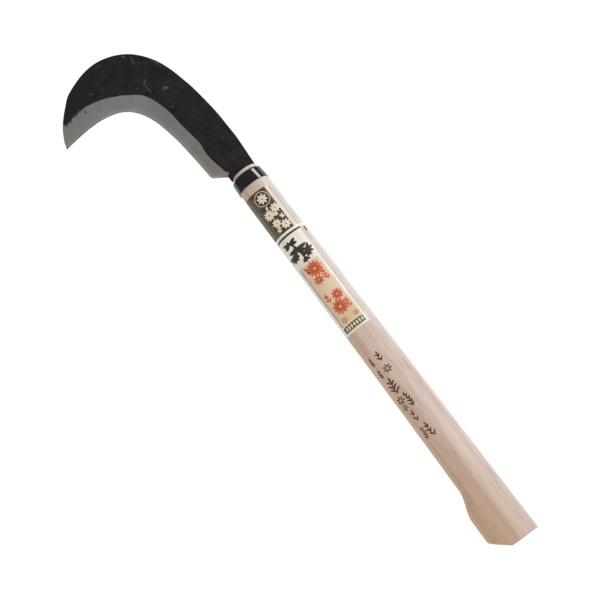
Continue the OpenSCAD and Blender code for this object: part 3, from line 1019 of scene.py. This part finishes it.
def print_black(material):
    """A bold leafy branch on the lower label, and the small bar at its side."""
    ink = Marks(SHEET)
    x = SEAM - 32.5
    ink.stroke([(x + 26.5, 9.5), (x + 15, 4.2), (x + 2, 3.0)], 2.2, start=0.8, end=0.6)
    ink.stroke([(x + 18, 5.2), (x + 12, 11.5), (x + 5, 15.5)], 1.5, start=0.8, end=0.5)
    ink.stroke([(x + 15, 4.2), (x + 9, -2.0), (x + 4, -5.5)], 1.5, start=0.8, end=0.5)
    nodes = [((23.5, 8.0), (75, 110, 255, 290), 8.5, 3.6),
             ((15.5, 4.3), (92, 128, 205, 232, 268), 11.0, 3.9),
             ((10.5, 12.8), (95, 135, 170, 215, 245), 7.8, 3.3),
             ((8.5, -2.4), (120, 165, 200, 240, 280, 320), 8.0, 3.4),
             ((3.5, 3.1), (140, 180, 220), 6.5, 3.0)]
    for (dx, v), angles, length, width in nodes:
        for angle in angles:
            ink.leaf((x + dx, v), angle, length, width, bend=0.10 if angle < 180 else -0.10)
    ink.bar(SEAM - 6.8, SEAM - 1.4, -17.7, -15.6)
    return ink.build("print_black", material, "cream_paper")


def print_orange(orange, red_brown, amber):
    """Flowers on the lower label: two orange groups with darker veins, and pale ones by the strip."""
    ink, vein, pale = Marks(SHEET), Marks(SHEET, first=0.06), Marks(SHEET, first=0.01)
    x = LOWER_START + 19.5
    for centre, radius, petals, turn in (((x + 8.6, 4.2), 8.6, 11, 0), ((x + 20.6, -0.6), 6.4, 9, 12),
                                         ((x + 54.9, 2.2), 8.6, 12, 6), ((x + 43.0, 5.4), 5.8, 8, 0)):
        ink.bloom(centre, radius, petals, 0.42 * radius, turn, core=0.12)
        vein.bloom(centre, radius * 0.66, petals, 0.10 * radius, turn, core=0.24)
    ink.spray((x + 17.5, 9.6), 4, 7.0, 2, 4.4, 2.3)
    ink.spray((x + 2.2, -4.6), 0, 8.5, 2, 3.6, 2.1)
    ink.spray((x + 38.2, -3.4), 2, 9.5, 3, 4.4, 2.2)
    vein.spray((x + 61.5, 10.4), 185, 6.5, 2, 3.4, 1.3, stem=0.6)
    for v, radius in ((9.2, 3.9), (-4.9, 3.3)):
        pale.bloom((LOWER_START + 14.4, v), radius, 5, 0.8 * radius, turn=36, core=0.05)
    return [ink.build("print_orange", orange, "cream_paper"),
            vein.build("print_red_brown", red_brown, "cream_paper"),
            pale.build("print_amber", amber, "cream_paper")]


def print_lines(olive, brown):
    """Thin frame lines of both labels."""
    dark, faint = Marks(SHEET), Marks(SHEET)
    dark.bar(LOWER_START + 10.2, LOWER_START + 82.5, 15.7, 16.9)
    faint.bar(LOWER_START + 10.2, LOWER_START + 82.5, -11.9, -11.2)
    faint.bar(SEAM + 4.0, UPPER_END - 1.5, -12.4, -11.4)
    return [dark.build("print_lines_dark", olive, "cream_paper"),
            faint.build("print_lines_faint", brown, "cream_paper")]


def print_gold(gold, dim):
    """Rosette, flowers and leaves on the dark panel, and the lights in the dark strip."""
    ink, tone = Marks(SHEET), Marks(SHEET, first=0.01)
    rosette, x = (UPPER_END - 10.1, 2.1), PANEL_X[0] + 1.8
    ink.ring(rosette, 7.9, 0.6)
    ink.bloom(rosette, 6.0, 8, 2.3, turn=22.5, core=0.12)
    for centre, radius, petals, turn in (((x + 5.0, -2.2), 5.4, 8, 10), ((x + 10.8, 5.0), 5.0, 8, 0),
                                         ((x + 22.0, 6.4), 5.8, 9, 0), ((x + 25.6, -3.2), 5.4, 8, 15)):
        ink.bloom(centre, radius, petals, 0.46 * radius, turn, core=0.12)
    ink.spray((x + 0.6, 8.4), -30, 5.0, 2, 3.6, 1.8)
    ink.spray((x + 11.6, -3.2), -18, 2.6, 1, 3.8, 1.8)
    ink.spray((x + 17.6, -1.8), 40, 3.4, 2, 3.4, 1.6)
    ink.leaf((x + 26.5, 4.4), -15, 5.2, 2.2)
    for k in range(7):
        v = mix(STRIP_V[0] + 2.0, STRIP_V[1] - 4.2, k / 6)
        ink.leaf((STRIP_X[0] + 1.2, v), 0, 4.4, 2.0, bend=0.0)
    for k in range(6):
        for dx, v in ((0, 13.6), (4.2, 19.2), (0, 24.6)):
            tone.ring((PANEL_X[0] + 4 + 8.4 * k + dx, v), 3.3, 0.6, steps=28)
            tone.ring((PANEL_X[0] + 4 + 8.4 * k + dx, v), 1.6, 0.6, steps=18)
    return [ink.build("print_gold", gold, "printed_paper"),
            tone.build("print_pattern", dim, "printed_paper")]


def burn_marks(char):
    """A row of small plants branded into the wood."""
    ink = Marks(0.0, sink=0.1, first=0.01)
    ink.spray((122.8, 5.2), 8, 12.5, 3, 5.4, 1.5, stem=0.9, bend=0.10)
    ink.spray((124.0, 14.0), -4, 11.0, 4, 4.0, 1.3, stem=0.8, bend=-0.06)
    ink.spray((143.2, 10.4), 0, 9.5, 2, 4.6, 1.5, stem=0.9, spread=38, bend=0.12)
    ink.spray((157.2, 5.2), 4, 13.5, 4, 4.8, 1.5, stem=0.9, bend=-0.08)
    ink.bloom((168.8, 13.0), 4.9, 7, 1.6)
    ink.bloom((160.6, 13.4), 3.6, 6, 1.3)
    ink.spray((175.8, 10.4), -3, 12.0, 3, 7.6, 1.9, stem=1.2, spread=50, bend=0.08)
    ink.bloom((201.3, 4.0), 4.8, 7, 1.6)
    ink.spray((210.2, 3.6), 0, 7.5, 2, 4.8, 1.5, stem=0.9, bend=0.1)
    for x in (195.8, 210.0):
        ink.spray((x, 13.6), 0, 7.5, 3, 3.4, 1.1, stem=0.8)
    return ink.build("burnt_marks", char, "hardwood")


# ---- studio ----

FLOOR_GLOW = 0.86
CAMERA_AT = (-20.0, 32.2, 1200.0)
CAMERA_AIM = (311.2, 32.2, 0.0)
CAMERA_UP = (0.812, -0.584, 0.0)
CAMERA_LENS, SENSOR = 75.29, 36.0


def point_camera():
    camera_data = bpy.data.cameras.new("camera")
    camera = bpy.data.objects.new("camera", camera_data)
    bpy.context.scene.collection.objects.link(camera)
    at, aim = Vector(row(CAMERA_AT)), Vector(row(CAMERA_AIM))
    back = (at - aim).normalized()
    right = Vector(CAMERA_UP).cross(back).normalized()
    up = back.cross(right)
    camera.matrix_world = Matrix.Translation(at) @ Matrix((right, up, back)).transposed().to_4x4()
    camera_data.lens, camera_data.sensor_width = CAMERA_LENS, SENSOR
    camera_data.clip_start, camera_data.clip_end = 0.05, 30
    bpy.context.scene.camera = camera


def area_light(name, position, aim, size, power, color=(1, 1, 1)):
    data = bpy.data.lights.new(name, "AREA")
    data.shape, data.size, data.size_y = "RECTANGLE", size[0], size[1]
    data.energy, data.color = power, color
    lamp = bpy.data.objects.new(name, data)
    lamp.location = position
    lamp.rotation_euler = (Vector(position) - Vector(aim)).to_track_quat("Z", "Y").to_euler()
    bpy.context.scene.collection.objects.link(lamp)


def build_studio():
    scene = bpy.context.scene
    scene.view_settings.view_transform = "Standard"
    world = bpy.data.worlds.new("studio")
    scene.world = world
    world.use_nodes = True
    world.node_tree.nodes["Background"].inputs["Color"].default_value = (1, 1, 1, 1)
    world.node_tree.nodes["Background"].inputs["Strength"].default_value = 0.22
    half = 6.0
    mesh = bpy.data.meshes.new("floor")
    corners = [(-half, -half, 0), (half, -half, 0), (half, half, 0), (-half, half, 0)]
    mesh.from_pydata(corners, [], [(0, 1, 2, 3)])
    floor = bpy.data.objects.new("floor", mesh)
    floor.data.materials.append(floor_material())
    scene.collection.objects.link(floor)
    centre = Vector((0.02, -0.03, 0.0))
    area_light("key", (0.60, -1.22, 0.95), centre, (1.1, 0.44), 14, (0.97, 0.98, 1.0))
    area_light("top", (-1.1, -0.9, 1.5), centre, (1.5, 1.5), 15, (0.99, 0.99, 1.0))
    area_light("fill", (-0.6, 1.5, 1.1), centre, (1.5, 1.0), 15, (1.0, 0.98, 0.96))


# ---- assembly ----

# Each paper's light and dark colour. The bright paper takes the front band and the greyer cream paper the
# sides and back: partly painted shade, partly the darker edge of the film.
PAPERS = [("cream_paper", (219, 208, 199), (207, 195, 183)),
          ("bright_paper", (243, 236, 221), (229, 220, 202)),
          ("printed_field", (231, 209, 181), (219, 192, 158))]
# Each ink's colour where it is strong and where it is thin, and how patchy it is.
INKS = [("panel_print", (60, 49, 34), (112, 97, 74), 0.75),
        ("strip_print", (96, 84, 60), (132, 120, 94), 0.7),
        ("ink_black", (48, 38, 33), (88, 76, 66), 0.5),
        ("ink_orange", (214, 102, 62), (230, 150, 112), 0.5),
        ("ink_red_brown", (148, 62, 38), (186, 100, 70), 0.5),
        ("ink_amber", (206, 148, 96), (226, 180, 134), 0.5),
        ("ink_olive", (118, 108, 84), (150, 141, 116), 0.5),
        ("ink_brown", (178, 163, 142), (206, 194, 174), 0.5),
        ("ink_gold", (236, 222, 194), (210, 192, 154), 0.5),
        ("ink_dim", (138, 124, 100), (104, 90, 68), 0.5),
        ("burnt_wood", (76, 32, 18), (122, 68, 46), 0.5)]


def build_object():
    papers = {name: paper_material(name, srgb(*light), srgb(*dark)) for name, light, dark in PAPERS}
    inks = {name: ink_material(name, srgb(*strong), srgb(*thin), patchy)
            for name, strong, thin, patchy in INKS}
    nail = nail_material()

    blade = Blade()
    pieces = [
        build_handle(wood_material(), end_grain_material()),
        build_ferrule(enamel_material()),
        build_blade_iron(blade, scale_material(),
                         ground_material("ground_iron", srgb(186, 188, 188), srgb(190, 182, 175), 0.16),
                         # The rim's scale, rubbed all along: partly wear, partly a painted highlight along
                         # the spine's edge.
                         scale_material("rim_wear_painted_highlight", 1.0)),
        build_edge_steel(blade,
                         ground_material("ground_steel", srgb(192, 193, 193), srgb(196, 188, 181), 0.13)),
        *build_labels(*papers.values(), inks["strip_print"], inks["panel_print"]),
        print_black(inks["ink_black"]),
        *print_orange(inks["ink_orange"], inks["ink_red_brown"], inks["ink_amber"]),
        *print_lines(inks["ink_olive"], inks["ink_brown"]),
        *print_gold(inks["ink_gold"], inks["ink_dim"]),
        burn_marks(inks["burnt_wood"]),
    ]
    for piece in pieces:
        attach(piece, "root")
    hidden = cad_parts["tang_nail"]
    hidden.data.materials.clear()
    hidden.data.materials.append(nail)


point_camera()
build_object()
build_studio()
